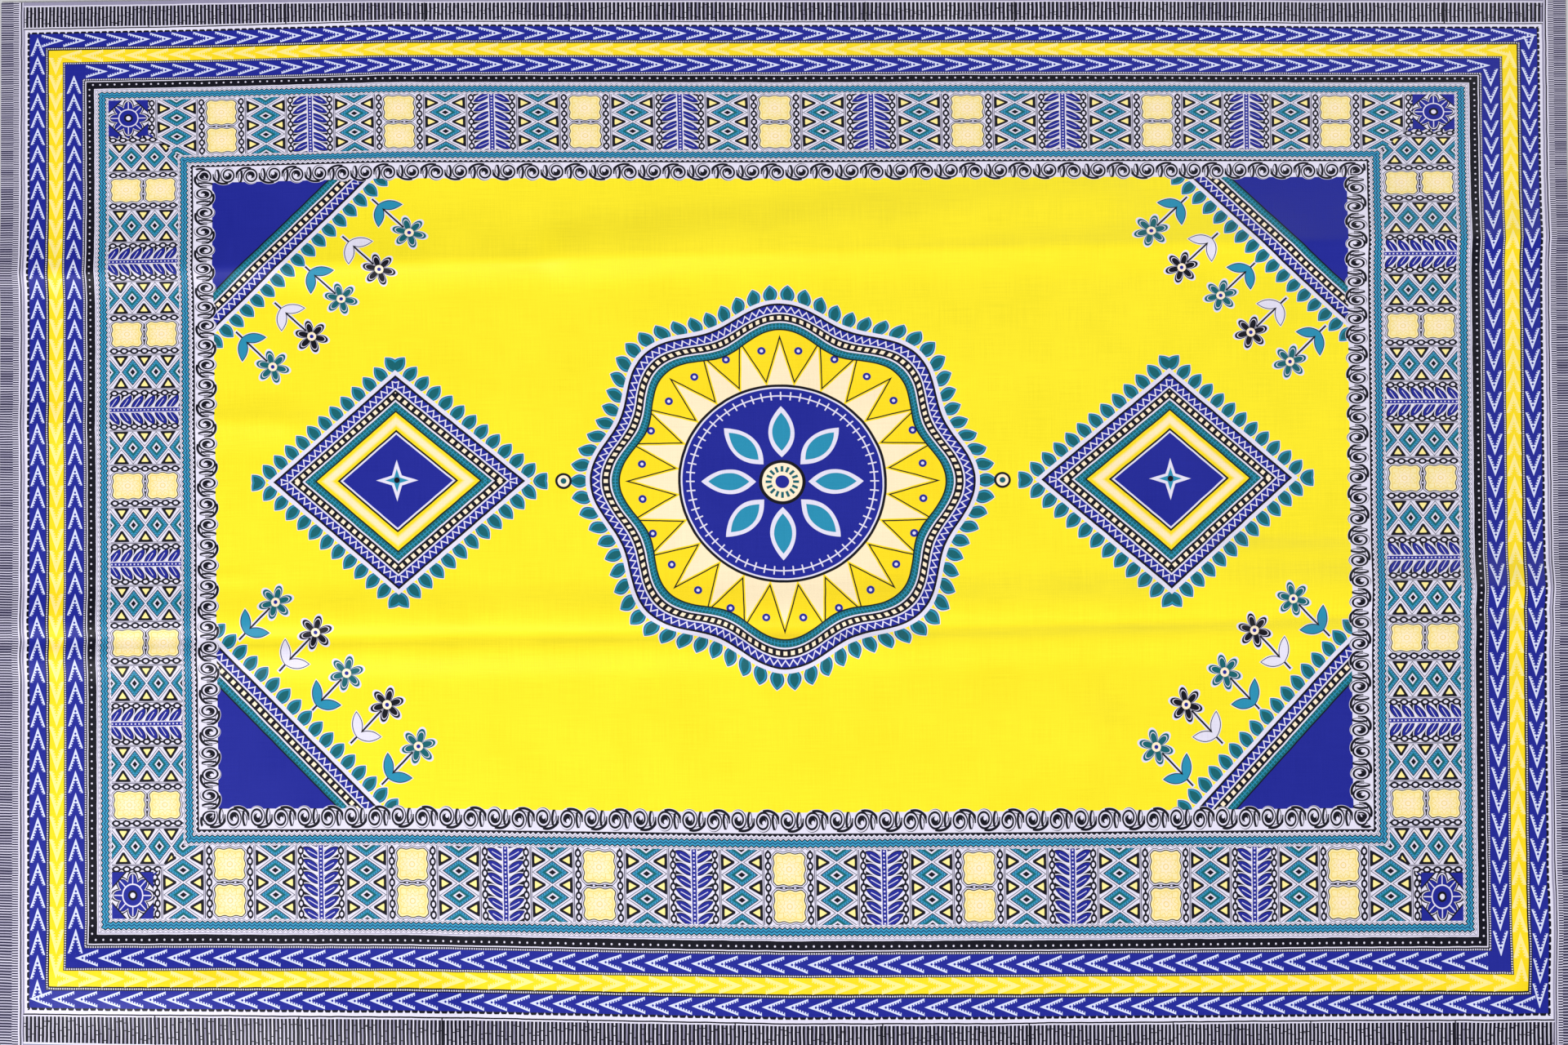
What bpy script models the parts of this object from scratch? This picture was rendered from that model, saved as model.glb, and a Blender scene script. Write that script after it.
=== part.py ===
"""A length of wax print cotton, laid flat: one cloth with woven selvedges at the left and right and
a cut end at the top and bottom, keeping the soft folds that it was packed in.

Metres, +Z up, +X towards the right selvedge, +Y towards the upper cut end. The origin is at the
middle of the cloth's box, on the surface that the cloth lies on.
"""

import math
from collections import namedtuple

import bpy

# Driving dimensions. The cloth is a 46 inch loom width and lies a little slack at its lower end.
WIDTH_UPPER = 1.168
WIDTH_LOWER = 1.1765
LENGTH = 0.792
CLOTH_WALL = 0.0015

# How the cloth's edges run when it is laid out by hand
LEFT_SLANT = 0.0024  # how far the left selvedge moves out from the upper end to the lower
UPPER_LEFT_DROP = 0.0037  # how far the upper end falls away at its left corner
LOWER_LEFT_RISE = 0.0079  # how far the lower end rises at its left corner
LOWER_RIGHT_RISE = 0.0030  # and at its right corner

# Folds that run from selvedge to selvedge. left, middle and right are the fold's Y at the left
# selvedge, halfway and at the right selvedge. above and below are how far it reaches towards the
# upper and the lower end. A crest stands up in a pressed edge, and a groove is a pressed crease
# between two low lips.
Fold = namedtuple("Fold", "shape left middle right height above below")
FOLDS = (
    Fold("crest", left=0.189, middle=0.2045, right=0.217, height=0.0055, above=0.062, below=0.026),
    Fold("groove", left=-0.084, middle=-0.0765, right=-0.060, height=0.0032, above=0.042, below=0.034),
)

# Rolls that fade out at both ends: soft swells in the cloth, from start to end, with their height
# and how far they reach to each side.
Roll = namedtuple("Roll", "start end height reach")
ROLLS = (
    Roll(start=(-0.16, 0.207), end=(0.24, 0.252), height=0.0024, reach=0.030),  # beside the crest
    Roll(start=(0.31, -0.030), end=(0.62, -0.045), height=0.0030, reach=0.030),  # right selvedge
    Roll(start=(-0.62, 0.075), end=(-0.37, 0.079), height=0.0020, reach=0.026),  # left selvedge
    Roll(start=(-0.53, -0.335), end=(-0.27, -0.372), height=0.0042, reach=0.046),  # lower left
    Roll(start=(0.16, -0.400), end=(0.23, -0.150), height=0.0020, reach=0.034),  # lower right
    Roll(start=(0.53, -0.350), end=(0.62, -0.245), height=0.0048, reach=0.034),  # right corner
    Roll(start=(-0.02, -0.395), end=(0.14, -0.385), height=0.0030, reach=0.040),  # lower end
    Roll(start=(0.20, 0.392), end=(0.36, 0.398), height=0.0028, reach=0.036),  # upper end
    Roll(start=(-0.44, 0.392), end=(-0.30, 0.396), height=0.0024, reach=0.034),  # upper end
)

# The mesh has rows along the folds, closer together towards each fold and end
COLUMNS = 44
ROWS_BETWEEN = (11, 14, 15)  # upper end to crest, crest to groove, groove to lower end
CLUSTERING = 0.55  # 0 spaces the rows evenly, 1 crowds them at the folds

COLOUR = (0.973, 0.823, 0.038, 1.0)  # the yellow of the field, the largest area of the print
ROUGHNESS = 0.62


def clear_scene():
    for leftover in list(bpy.data.objects):
        bpy.data.objects.remove(leftover, do_unlink=True)


def falling(value):
    """The square of what is left of a ramp that has run down to nothing."""
    return max(0.0, value) ** 2


def selvedges(down):
    """X of the left and right selvedges, from 0 at the upper end to 1 at the lower."""
    left = -WIDTH_LOWER / 2 + LEFT_SLANT * (1 - down)
    right_slant = WIDTH_LOWER - WIDTH_UPPER - LEFT_SLANT
    return left, WIDTH_LOWER / 2 - right_slant * (1 - down)


def upper_end(across):
    """Y of the upper cut end, from 0 at the left selvedge to 1 at the right."""
    return LENGTH / 2 - UPPER_LEFT_DROP * falling(1 - across / 0.45)


def lower_end(across):
    left_rise = LOWER_LEFT_RISE * falling(1 - across / 0.5)
    right_rise = LOWER_RIGHT_RISE * falling((across - 0.5) / 0.5)
    return -LENGTH / 2 + left_rise + right_rise


def fold_line(fold, across):
    """Y of a fold, on the parabola through its three given places."""
    bow = fold.middle - (fold.left + fold.right) / 2
    straight = fold.left + (fold.right - fold.left) * across
    return straight + bow * 4 * across * (1 - across)


def crest(share):
    """Height across a pressed crest: 1 at its edge, and 0 from its foot on."""
    return falling(1 - share)


def groove(share):
    """Height of the lip beside a pressed crease: 0 in the crease, 1 a third of the way out."""
    return 6.75 * share * falling(1 - share)


def roll_height(roll, x, y):
    """A swell is a raised cosine across its line, and it dies away past both ends of the line."""
    (x0, y0), (x1, y1) = roll.start, roll.end
    run = math.hypot(x1 - x0, y1 - y0)
    along = ((x - x0) * (x1 - x0) + (y - y0) * (y1 - y0)) / run
    across = ((x - x0) * (y1 - y0) - (y - y0) * (x1 - x0)) / run
    beyond = max(-along, along - run, 0.0)
    share = math.hypot(across, beyond) / roll.reach
    return roll.height * 0.5 * (1 + math.cos(math.pi * share)) if share < 1 else 0.0


def lift(x, y, across):
    """How far the cloth stands off the surface that it lies on."""
    height = 0.0
    for fold in FOLDS:
        offset = y - fold_line(fold, across)
        share = offset / fold.above if offset > 0 else -offset / fold.below
        profile = crest if fold.shape == "crest" else groove
        height += fold.height * profile(share)
    for roll in ROLLS:
        height += roll_height(roll, x, y)
    return height


def clustered(step, steps):
    """Even steps from 0 to 1, drawn together towards both ends."""
    even = step / steps
    eased = 0.5 - 0.5 * math.cos(math.pi * even)
    return even + (eased - even) * CLUSTERING


def row_places(across):
    """Y of every row of the mesh in one column, from the upper end to the lower."""
    guides = [upper_end(across)]
    guides += [fold_line(fold, across) for fold in FOLDS]
    guides.append(lower_end(across))
    places = [guides[0]]
    for rows, top, bottom in zip(ROWS_BETWEEN, guides, guides[1:]):
        places += [top + (bottom - top) * clustered(row, rows) for row in range(1, rows + 1)]
    return places


def make_underside():
    """The face that lies on the surface, as rows of points and the quads between them."""
    points = []
    for column in range(COLUMNS + 1):
        across = column / COLUMNS
        for y in row_places(across):
            down = (LENGTH / 2 - y) / LENGTH
            left, right = selvedges(down)
            x = left + (right - left) * across
            points.append((x, y, lift(x, y, across)))
    rows = sum(ROWS_BETWEEN)
    quads = []
    for column in range(COLUMNS):
        for row in range(rows):
            corner = column * (rows + 1) + row
            quads.append((corner, corner + 1, corner + rows + 2, corner + rows + 1))
    return points, quads


def cotton():
    material = bpy.data.materials.new("printed_cotton")
    material.use_nodes = True
    shader = material.node_tree.nodes["Principled BSDF"]
    shader.inputs["Base Color"].default_value = COLOUR
    shader.inputs["Roughness"].default_value = ROUGHNESS
    shader.inputs["Metallic"].default_value = 0.0
    return material


def make_cloth_panel():
    """The underside, thickened upwards into a wall of cloth."""
    points, quads = make_underside()
    mesh = bpy.data.meshes.new("cloth_panel")
    mesh.from_pydata(points, [], quads)
    mesh.materials.append(cotton())
    mesh.shade_smooth()
    panel = bpy.data.objects.new("cloth_panel", mesh)
    bpy.context.scene.collection.objects.link(panel)
    wall = panel.modifiers.new("wall", "SOLIDIFY")
    wall.thickness = CLOTH_WALL
    wall.offset = 1.0
    return panel


clear_scene()
make_cloth_panel()
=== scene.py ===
import math
from collections import namedtuple

import bpy
import numpy as np
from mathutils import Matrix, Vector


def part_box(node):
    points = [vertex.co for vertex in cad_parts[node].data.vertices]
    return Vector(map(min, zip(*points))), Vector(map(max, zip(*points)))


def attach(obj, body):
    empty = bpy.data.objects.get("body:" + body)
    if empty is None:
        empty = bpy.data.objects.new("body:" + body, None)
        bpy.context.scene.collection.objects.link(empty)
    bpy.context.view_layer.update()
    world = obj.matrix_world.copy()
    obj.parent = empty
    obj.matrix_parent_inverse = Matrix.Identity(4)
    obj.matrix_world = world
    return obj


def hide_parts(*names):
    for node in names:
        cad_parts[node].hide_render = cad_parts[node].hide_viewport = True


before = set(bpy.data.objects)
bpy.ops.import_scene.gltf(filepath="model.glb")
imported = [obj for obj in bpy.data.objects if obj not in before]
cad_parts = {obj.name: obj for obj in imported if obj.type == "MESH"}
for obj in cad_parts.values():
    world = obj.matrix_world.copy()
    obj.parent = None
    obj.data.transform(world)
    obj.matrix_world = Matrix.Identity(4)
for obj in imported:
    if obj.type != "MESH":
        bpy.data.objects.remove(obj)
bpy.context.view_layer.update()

# The cloth is one length of plain-woven cotton from a 46 inch loom, wax printed on both faces. It
# has a woven selvedge at each side and a cut end at the top and bottom, and it lies flat on the
# floor with the pressed folds and slack rolls that it was packed in.

lowest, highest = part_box("cloth_panel")
WIDTH_LOWER = highest[0] - lowest[0]
WIDTH_UPPER = WIDTH_LOWER - 0.0085
LENGTH = highest[1] - lowest[1]
CLOTH_THICKNESS = 0.0006

# How the edges run, as the cloth was laid out by hand
LEFT_SLANT = 0.0024
UPPER_LEFT_DROP = 0.0037
LOWER_LEFT_RISE = 0.0079
LOWER_RIGHT_RISE = 0.0030

# Half sizes of the printed frame and the margins outside it, in millimetres of print
PRINT_HALF_WIDTH = 570.0
PRINT_HALF_LENGTH = 390.0
SELVEDGE_MARGIN = 16.0
CUT_MARGIN = 24.0

# Where lines of the print lie on the floor, in millimetres from the middle: pairs of a place in the
# print and the same place as laid. The cloth is drawn in at its upper end and stretched at the lower.
ACROSS_LAID = (
    (-586, -587), (-570, -570), (-510, -511.5), (-446, -449), (-416, -419.5), (-277.5, -284.5),
    (-138.5, -145), (0, -3.5), (138.5, 139.5), (277.5, 280), (416, 412), (446, 443), (510, 508.5),
    (570, 570), (586, 585),
)
UP_LAID = (
    (-414, -396), (-390, -368), (-330, -301), (-266, -234.5), (-241, -208), (-119, -83),
    (0, 34.5), (119, 147.5), (241, 257), (266, 277), (330, 326.5), (390, 375.5), (414, 396),
)

# It is drawn aside too: for places across the print, how far to the right and how far upwards, in
# millimetres, along its upper and its lower end. Between the ends its right half lies higher.
UPPER_DRAWN = (
    (-570, 0, 0), (-424, -3.2, 0.9), (-284, -6.3, 3.6), (-145, -6.2, 3.0), (0, -5.4, 2.6),
    (139, -4.2, 2.9), (280, -1.2, 2.4), (416, -0.6, 1.4), (570, -2, 1.2),
)
LOWER_DRAWN = (
    (-570, 1.6, -2.2), (-424, 5.9, 0.3), (-284, 7.1, 1.4), (-145, 7.1, -0.3), (0, 7, -2.4),
    (139, 5, -2.1), (280, 3.2, -1.8), (416, 2.8, -1.4), (570, 1, -2.2),
)
RIGHT_RISE = 3.7

# Each zone of the print has its own material. These are the depths inside the printed frame at which
# the arrow bands, the blocks, the scroll and the field start, and the ends are outside them all.
ZONE_STARTS = (0.0, 66.0, 131.2, 150.6)
COLUMN_STEP = 6.6
ROW_STEP = 4.0

# A crest stands up in a pressed edge, and a groove is a pressed crease between two low lips
Fold = namedtuple("Fold", "shape left middle right height above below")
FOLDS = (
    Fold("crest", left=0.189, middle=0.2045, right=0.217, height=0.0055, above=0.062, below=0.026),
    Fold("groove", left=-0.084, middle=-0.0765, right=-0.060, height=0.0032, above=0.042, below=0.034),
)
LIP_SCALE = 6.75  # brings the top of a lip, a third of the way out from its crease, to 1

# Rolls are soft swells that fade out at both ends, and wrinkles are small sharp ones. Each has the
# start and the end of its line, its height and how far it reaches from the line.
Roll = namedtuple("Roll", "start end height reach")
ROLLS = (
    Roll((-0.16, 0.207), (0.24, 0.252), 0.0024, 0.030),
    Roll((0.31, -0.030), (0.62, -0.045), 0.0030, 0.030),
    Roll((-0.62, 0.075), (-0.37, 0.079), 0.0020, 0.026),
    Roll((-0.53, -0.335), (-0.27, -0.372), 0.0042, 0.046),
    Roll((0.16, -0.400), (0.23, -0.150), 0.0020, 0.034),
    Roll((0.53, -0.350), (0.62, -0.245), 0.0048, 0.034),
    Roll((-0.02, -0.395), (0.14, -0.385), 0.0030, 0.040),
    Roll((0.20, 0.392), (0.36, 0.398), 0.0028, 0.036),
    Roll((-0.44, 0.392), (-0.30, 0.396), 0.0024, 0.034),
)
WRINKLES = (
    Roll((0.31, -0.014), (0.43, -0.016), 0.0009, 0.011),
    Roll((0.44, -0.047), (0.59, -0.045), 0.0007, 0.008),
    Roll((-0.59, -0.034), (-0.40, -0.037), 0.0006, 0.009),
    Roll((-0.43, 0.080), (-0.37, 0.078), 0.0007, 0.010),
    Roll((0.165, -0.212), (0.210, -0.150), 0.0008, 0.010),
    Roll((0.545, -0.335), (0.585, -0.250), 0.0010, 0.011),
    Roll((0.370, -0.122), (0.386, -0.133), 0.0007, 0.008),
    Roll((-0.120, -0.330), (-0.126, -0.140), 0.0005, 0.009),
    Roll((0.131, 0.150), (0.134, -0.060), 0.0004, 0.009),
    Roll((-0.50, -0.352), (-0.36, -0.330), 0.0009, 0.012),
)

# The bake map is the sheet within the unit square, with a sliver round it for the rim
BAKED_HALF = 0.494
RIM_SLIVER = 0.004


def falling(value):
    """The square of a value, and nothing where it is below 0."""
    return np.maximum(0.0, value) ** 2


def upper_end(across):
    return LENGTH / 2 - UPPER_LEFT_DROP * falling(1 - across / 0.45)


def lower_end(across):
    rises = LOWER_LEFT_RISE * falling(1 - across / 0.5)
    return -LENGTH / 2 + rises + LOWER_RIGHT_RISE * falling((across - 0.5) / 0.5)


def drawn_along(drawn, print_across):
    """How far the cloth is drawn to the right and upwards along one of its ends."""
    places, asides, rises = zip(*drawn)
    return np.interp(print_across, places, asides), np.interp(print_across, places, rises)


def drawn_aside(print_across, print_up):
    """How far it is drawn at any place, in metres. Its own edges stay in place."""
    height = np.clip(print_up / PRINT_HALF_LENGTH, -1, 1)
    pairs = zip(drawn_along(UPPER_DRAWN, print_across), drawn_along(LOWER_DRAWN, print_across))
    aside, rise = (above * (1 + height) / 2 + below * (1 - height) / 2 for above, below in pairs)
    rise += RIGHT_RISE * (1 - height**2) * np.clip(print_across / PRINT_HALF_WIDTH, -1, 1)
    aside *= np.clip((PRINT_HALF_WIDTH + SELVEDGE_MARGIN - abs(print_across)) / SELVEDGE_MARGIN, 0, 1)
    rise *= np.clip((PRINT_HALF_LENGTH + CUT_MARGIN - abs(print_up)) / CUT_MARGIN, 0, 1)
    return aside / 1000, rise / 1000


def share_laid(place, laid):
    """A place in the print as a share of the way from the cloth's one edge to the other."""
    print_places, laid_places = zip(*laid)
    first, last = laid_places[0], laid_places[-1]
    return (np.interp(place, print_places, laid_places) - first) / (last - first)


def laid_out(print_across, print_up):
    """Where a point of the print lies on the floor: x, y and its share of the way across."""
    across = share_laid(print_across, ACROSS_LAID)
    up_share = share_laid(print_up, UP_LAID)
    y = lower_end(across) + (upper_end(across) - lower_end(across)) * up_share
    down = (LENGTH / 2 - y) / LENGTH
    left = -WIDTH_LOWER / 2 + LEFT_SLANT * (1 - down)
    right = WIDTH_LOWER / 2 - (WIDTH_LOWER - WIDTH_UPPER - LEFT_SLANT) * (1 - down)
    x = left + (right - left) * across
    aside, rise = drawn_aside(print_across, print_up)
    return x + aside, y + rise, across


def fold_height(fold, y, across):
    bow = fold.middle - (fold.left + fold.right) / 2
    line = fold.left + (fold.right - fold.left) * across + bow * 4 * across * (1 - across)
    offset = y - line
    share = np.where(offset > 0, offset / fold.above, -offset / fold.below)
    profile = falling(1 - share)
    return fold.height * (profile if fold.shape == "crest" else LIP_SCALE * share * profile)


def roll_height(roll, x, y):
    """A swell is a raised cosine across its line, and it dies away past both ends of the line."""
    (x0, y0), (x1, y1) = roll.start, roll.end
    run = math.hypot(x1 - x0, y1 - y0)
    along = ((x - x0) * (x1 - x0) + (y - y0) * (y1 - y0)) / run
    across = ((x - x0) * (y1 - y0) - (y - y0) * (x1 - x0)) / run
    beyond = np.maximum(np.maximum(-along, along - run), 0.0)
    share = np.minimum(np.hypot(across, beyond) / roll.reach, 1.0)
    return roll.height * 0.5 * (1 + np.cos(math.pi * share))


def lift(x, y, across):
    height = sum(fold_height(fold, y, across) for fold in FOLDS)
    return height + sum(roll_height(roll, x, y) for roll in ROLLS + WRINKLES)


def grid_lines(half, margin, step):
    """Places of the mesh lines in one direction: one on every edge of a zone, and even between."""
    edges = [-half - margin] + [start - half for start in ZONE_STARTS]
    edges += [-edge for edge in reversed(edges)]
    lines = [edges[0]]
    for low, high in zip(edges, edges[1:]):
        steps = math.ceil((high - low) / step)
        lines += [low + (high - low) * number / steps for number in range(1, steps + 1)]
    return np.array(lines)


def sheet_faces(number):
    """Quads of the upper face, the under face and the rim, over a grid of numbered points."""
    count = number.size
    corners = (number[:-1, :-1], number[:-1, 1:], number[1:, 1:], number[1:, :-1])
    under = np.column_stack([corner.ravel() for corner in reversed(corners)])
    upper = np.column_stack([corner.ravel() for corner in corners]) + count
    edge = np.concatenate([number[0, :-1], number[:-1, -1], number[-1, :0:-1], number[:0:-1, 0]])
    following = np.roll(edge, -1)
    return upper, under, np.column_stack([edge, following, following + count, edge + count])


def bake_places(places, faces, rim_faces):
    """A place in the unit square for every corner of a face."""
    corners = faces.ravel()
    half_sizes = (PRINT_HALF_WIDTH + SELVEDGE_MARGIN, PRINT_HALF_LENGTH + CUT_MARGIN)
    sheet = places[corners % len(places)] / half_sizes
    in_rim = np.arange(corners.size) >= corners.size - rim_faces.size
    at_the_foot = in_rim & (corners < len(places))
    outward = np.where(abs(sheet) > 0.9999, np.sign(sheet), 0) * at_the_foot[:, None]
    return 0.5 + BAKED_HALF * sheet + RIM_SLIVER * outward


def frame_depth(across, up):
    """How far inside the printed frame a place of the print is."""
    return np.minimum(PRINT_HALF_WIDTH - abs(across), PRINT_HALF_LENGTH - abs(up))


def add_object(name, data):
    thing = bpy.data.objects.new(name, data)
    bpy.context.scene.collection.objects.link(thing)
    return thing


def make_cloth():
    """The sheet as an object, with the print's places kept on its mesh, and the middle of each face."""
    columns = grid_lines(PRINT_HALF_WIDTH, SELVEDGE_MARGIN, COLUMN_STEP)
    rows = grid_lines(PRINT_HALF_LENGTH, CUT_MARGIN, ROW_STEP)
    places = np.column_stack([line.ravel() for line in np.meshgrid(columns, rows)])
    x, y, across = laid_out(*places.T)
    under = np.column_stack([x, y, lift(x, y, across)])
    points = np.vstack([under, under + (0, 0, CLOTH_THICKNESS)])
    parts = sheet_faces(np.arange(len(places)).reshape(len(rows), len(columns)))
    faces = np.vstack(parts)

    mesh = bpy.data.meshes.new("cloth")
    mesh.from_pydata(points.tolist(), [], faces.tolist())
    face_places = places[faces % len(places)]
    mesh.uv_layers.new(name="print_place").data.foreach_set("uv", face_places.ravel())
    baked = bake_places(places, faces, parts[-1])
    mesh.uv_layers.new(name="OFBake").data.foreach_set("uv", baked.ravel())
    mesh.shade_smooth()
    mesh.set_sharp_from_angle(angle=math.radians(60))
    mesh.update()
    return add_object("printed_cloth", mesh), face_places.mean(axis=1)


cloth, face_middles = make_cloth()
zone_of_face = np.searchsorted(ZONE_STARTS, frame_depth(*face_middles.T)).astype(np.int32)

# The inks. Indigo black, blue, two teals, yellow and a pale yellow are printed on a white that is
# faintly lilac, with a grey where the wax let a little dye through.


def linear(part):
    """One part of a colour, from 0 to 255 as it looks, on the linear scale of shaders."""
    share = part / 255
    return ((share + 0.055) / 1.055) ** 2.4 if share > 0.04045 else share / 12.92


def ink(red, green, blue):
    return (linear(red), linear(green), linear(blue), 1.0)


WHITE = ink(225, 221, 240)
ARROW_WHITE = ink(216, 222, 248)
GREY = ink(150, 145, 172)
BLACK = ink(9, 8, 24)
THIN_BLACK = ink(30, 27, 60)
BLUE = ink(27, 35, 147)
LIGHT_TEAL = ink(62, 156, 200)
TEAL = ink(36, 140, 176)
DARK_TEAL = ink(14, 84, 120)
DEEP_TEAL = ink(14, 96, 106)
YELLOW = ink(250, 231, 34)
BAND_YELLOW = ink(250, 220, 26)
PILLOW_YELLOW = ink(247, 230, 166)
STRAW = ink(236, 202, 84)
PALE_YELLOW = ink(252, 235, 150)
CREAM = ink(252, 234, 204)
INK_BLEED = 0.3  # millimetres over which one ink fades into the next


class Amount:
    """A number or colour that changes over the cloth: one output of a shader node.

    Arithmetic on amounts adds Math nodes, so an outline is written as a formula in millimetres.
    """

    def __init__(self, socket):
        self.socket = socket
        self.tree = socket.id_data

    def maths(self, operation, *others, clamp=False):
        node = self.tree.nodes.new("ShaderNodeMath")
        node.operation = operation
        node.use_clamp = clamp
        for place, value in enumerate((self, *others)):
            feed(node.inputs[place], value)
        return Amount(node.outputs[0])

    def __add__(self, other):
        return self.maths("ADD", other)

    def __sub__(self, other):
        return self.maths("SUBTRACT", other)

    def __rsub__(self, other):
        return self.maths("MULTIPLY_ADD", -1.0, other)

    def __mul__(self, other):
        return self.maths("MULTIPLY", other)

    def __truediv__(self, other):
        return self.maths("DIVIDE", other)

    def __neg__(self):
        return self.maths("MULTIPLY", -1.0)

    def __abs__(self):
        return self.maths("ABSOLUTE")

    __radd__ = __add__
    __rmul__ = __mul__


def feed(socket, value):
    if isinstance(value, Amount):
        socket.id_data.links.new(value.socket, socket)
    else:
        socket.default_value = value


def most(first, *others):
    for other in others:
        first = first.maths("MAXIMUM", other)
    return first


def least(first, *others):
    for other in others:
        first = first.maths("MINIMUM", other)
    return first


def wrapped(along, pitch):
    """Distance from the nearest of a row of places a pitch apart, from -pitch/2 to pitch/2."""
    return along.maths("WRAP", pitch / 2, -pitch / 2)


def folded(along, pitch):
    """The same without a sign, from 0 on each place to pitch/2 halfway to the next."""
    return along.maths("PINGPONG", pitch / 2)


def length_of(across, up):
    return (across * across).maths("MULTIPLY_ADD", 1.0, up * up).maths("SQRT")


def inside(outline, bleed=INK_BLEED):
    """1 where the distance to an outline is negative and 0 where it is positive."""
    return outline.maths("MULTIPLY_ADD", -1 / bleed, 0.5, clamp=True)


def printed(ground, colour, mask):
    """The ground with an ink over it where the mask is 1."""
    node = mask.tree.nodes.new("ShaderNodeMix")
    node.data_type = "RGBA"
    feed(node.inputs[0], mask)
    feed(node.inputs[6], ground)
    feed(node.inputs[7], colour)
    return Amount(node.outputs[2])


def inked(ground, *layers):
    """The ground with inks laid over it in turn: each has its ink, its outline and any strength."""
    for colour, outline, *strengths in layers:
        mask = inside(outline)
        for strength in strengths:
            mask = mask * strength
        ground = printed(ground, colour, mask)
    return ground


def striped(across, total, stripes):
    """Plain stripes side by side: pairs of where each starts, the first at 0, and its ink."""
    ramp = across.tree.nodes.new("ShaderNodeValToRGB")
    ramp.color_ramp.interpolation = "CONSTANT"
    feed(ramp.inputs[0], across / total)
    stops = ramp.color_ramp.elements
    stops.remove(stops[1])
    stops[0].color = stripes[0][1]
    for start, colour in stripes[1:]:
        stops.new(start / total).color = colour
    return Amount(ramp.outputs[0])


def random_for(number):
    """Three numbers from 0 to 1 that stay the same for the same whole number."""
    noise = number.tree.nodes.new("ShaderNodeTexWhiteNoise")
    noise.noise_dimensions = "1D"
    feed(noise.inputs["W"], number)
    parts = number.tree.nodes.new("ShaderNodeSeparateColor")
    feed(parts.inputs[0], Amount(noise.outputs["Color"]))
    return [Amount(part) for part in parts.outputs]


def start_group(name, inputs):
    """A new shader node group with its input sockets, given as name to kind, and their amounts."""
    group = bpy.data.node_groups.new(name, "ShaderNodeTree")
    for title, kind in inputs.items():
        group.interface.new_socket(title, in_out="INPUT", socket_type="NodeSocket" + kind)
    entry = group.nodes.new("NodeGroupInput")
    return group, [Amount(entry.outputs[title]) for title in inputs]


def end_group(group, kind, outputs):
    """Gives the group its output sockets, all of one kind: name to amount."""
    for title in outputs:
        group.interface.new_socket(title, in_out="OUTPUT", socket_type="NodeSocket" + kind)
    leaving = group.nodes.new("NodeGroupOutput")
    for title, amount in outputs.items():
        feed(leaving.inputs[title], amount)
    return group


def use_group(tree, group, **inputs):
    """Places a group in a tree, and gives its outputs as amounts by name."""
    node = tree.nodes.new("ShaderNodeGroup")
    node.node_tree = group
    for title, value in inputs.items():
        feed(node.inputs[title.replace("_", " ")], value)
    return {output.name: Amount(output) for output in node.outputs}


# The cotton itself is a plain weave of fine, slightly uneven threads. Its calendered wax finish is
# smooth and half glossy, and the drawn lines of the print wander a little, as cut blocks do.

THREAD_PITCH = 0.36
THREAD_RELIEF = 0.00006
SLUBS_OVER_WARP = (1.6, 0.035, 1.0)  # how quickly a thread's thickness changes across and along it
SLUBS_OVER_WEFT = (0.035, 1.6, 1.0)
CLOUD_SCALE = 1 / 55
LINE_WANDER = 0.28
WANDER_SCALE = 1 / 14
FINISH_ROUGHNESS = 0.47
FINISH_GLOSS = 0.2


def noise_over(place, scale, detail=1.0, colour=False):
    noise = place.tree.nodes.new("ShaderNodeTexNoise")
    noise.noise_dimensions = "2D"
    feed(noise.inputs["Scale"], scale)
    feed(noise.inputs["Detail"], detail)
    feed(noise.inputs["Vector"], place)
    return Amount(noise.outputs["Color" if colour else "Fac"])


def vector_maths(operation, first, second):
    node = first.tree.nodes.new("ShaderNodeVectorMath")
    node.operation = operation
    feed(node.inputs[0], first)
    feed(node.inputs[1], second)
    return Amount(node.outputs[0])


def parts_of(vector):
    node = vector.tree.nodes.new("ShaderNodeSeparateXYZ")
    feed(node.inputs[0], vector)
    return Amount(node.outputs[0]), Amount(node.outputs[1])


def build_weave():
    """Threads seen close to: a height for the bump, a shade for the colour, and the roughness."""
    group, (place, roughness) = start_group("cotton_weave", {"Place": "Vector", "Finish": "Float"})
    across, up = parts_of(place)
    warp = (across * (math.pi / THREAD_PITCH)).maths("SINE")
    weft = (up * (math.pi / THREAD_PITCH)).maths("SINE")
    warp_slubs = noise_over(vector_maths("MULTIPLY", place, SLUBS_OVER_WARP), 1.0)
    weft_slubs = noise_over(vector_maths("MULTIPLY", place, SLUBS_OVER_WEFT), 1.0)
    slubs = warp_slubs + weft_slubs - 1.0
    clouds = noise_over(place, CLOUD_SCALE, detail=3.0) - 0.5
    return end_group(group, "Float", {
        "Height": warp * weft * 0.5 + slubs * 1.6,
        "Shade": 1.0 + slubs * 0.10 + clouds * 0.10,
        "Roughness": roughness + clouds * 0.22 + slubs * 0.10,
    })


def build_wander():
    """The print's place with the small wander of lines that were cut and printed by hand."""
    group, (place,) = start_group("hand_cut_lines", {"Place": "Vector"})
    drift = vector_maths("SUBTRACT", noise_over(place, WANDER_SCALE, 2.0, colour=True), (0.5, 0.5, 0.5))
    moved = vector_maths("ADD", place, vector_maths("MULTIPLY", drift, (LINE_WANDER * 2,) * 3))
    return end_group(group, "Vector", {"Moved": moved})


WEAVE = build_weave()
WANDER = build_wander()


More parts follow.
